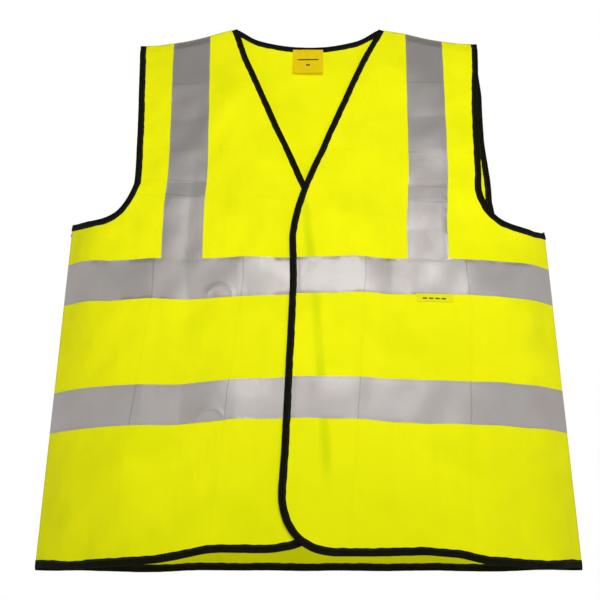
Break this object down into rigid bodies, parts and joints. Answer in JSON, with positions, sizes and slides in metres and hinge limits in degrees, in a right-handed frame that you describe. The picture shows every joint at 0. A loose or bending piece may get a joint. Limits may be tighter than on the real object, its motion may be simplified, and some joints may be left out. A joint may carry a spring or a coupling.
{
  "type": "high visibility vest",
  "caption": "Sleeveless fluorescent yellow safety vest with reflective chest and waist bands, shoulder braces, black edge binding and an overlapping hook and loop front.",
  "frame": {"origin": "on the middle plane of the vest, level with the back hem, half-way between the side seams", "axes": "+Z from the hem up to the neck, +X towards the wearer's left side seam, -Y out of the closed front"},
  "size_m": [0.6, 0.1139, 0.7247],
  "materials": {
    "fluorescent_cloth": "warp-knit fluorescent yellow polyester, faint sheen",
    "reflective_tape": "silver-grey glass-bead retro-reflective tape on cloth",
    "edge_binding": "folded black polyester bias binding, matt",
    "seam_thread": "overlocked seam allowance in yellow thread",
    "hook_strip": "black nylon hook tape, stiff and grainy",
    "loop_strip": "black nylon loop tape, soft nap",
    "label_ribbon": "woven ribbon label with plain printed bars"
  },
  "bodies": {
    "torso": {"back_panel": "fluorescent_cloth", "left_front_side": "fluorescent_cloth", "right_front_side": "fluorescent_cloth", "back_chest_band": "reflective_tape", "back_waist_band": "reflective_tape", "left_chest_band_end": "reflective_tape", "right_chest_band_end": "reflective_tape", "left_waist_band_end": "reflective_tape", "right_waist_band_end": "reflective_tape", "left_front_brace": "reflective_tape", "right_front_brace": "reflective_tape", "left_back_brace": "reflective_tape", "right_back_brace": "reflective_tape", "back_neck_binding": "edge_binding", "left_hem_binding": "edge_binding", "right_hem_binding": "edge_binding", "back_hem_binding": "edge_binding", "left_front_armhole_binding": "edge_binding", "right_front_armhole_binding": "edge_binding", "left_back_armhole_binding": "edge_binding", "right_back_armhole_binding": "edge_binding", "left_side_seam": "seam_thread", "right_side_seam": "seam_thread", "left_shoulder_seam": "seam_thread", "right_shoulder_seam": "seam_thread", "chest_label": "label_ribbon"},
    "left_front": {"left_front_panel": "fluorescent_cloth", "left_chest_band": "reflective_tape", "left_waist_band": "reflective_tape", "left_front_binding": "edge_binding", "loop_strips": "loop_strip"},
    "right_front": {"right_front_panel": "fluorescent_cloth", "right_chest_band": "reflective_tape", "right_waist_band": "reflective_tape", "right_front_binding": "edge_binding", "hook_strips": "hook_strip"},
    "neck_label": {"neck_label": "label_ribbon"}
  },
  "joints": [
    {"name": "left_front_fold", "type": "hinge", "parent": "torso", "child": "left_front", "pos_m": [0.145, -0.0568, 0], "axis": [-0.0631, 0.0734, 0.9953], "range_deg": [0, 165]},
    {"name": "right_front_fold", "type": "hinge", "parent": "torso", "child": "right_front", "pos_m": [-0.145, -0.0568, 0], "axis": [-0.0631, -0.0734, -0.9953], "range_deg": [0, 124]},
    {"name": "neck_label_flip", "type": "hinge", "parent": "torso", "child": "neck_label", "pos_m": [0, 0.00296, 0.693], "axis": [-1, 0, 0], "range_deg": [0, 150]}
  ],
  "couplings": [
    {"joint": "right_front_fold", "follows": "left_front_fold", "ratio": 0.75}
  ]
}
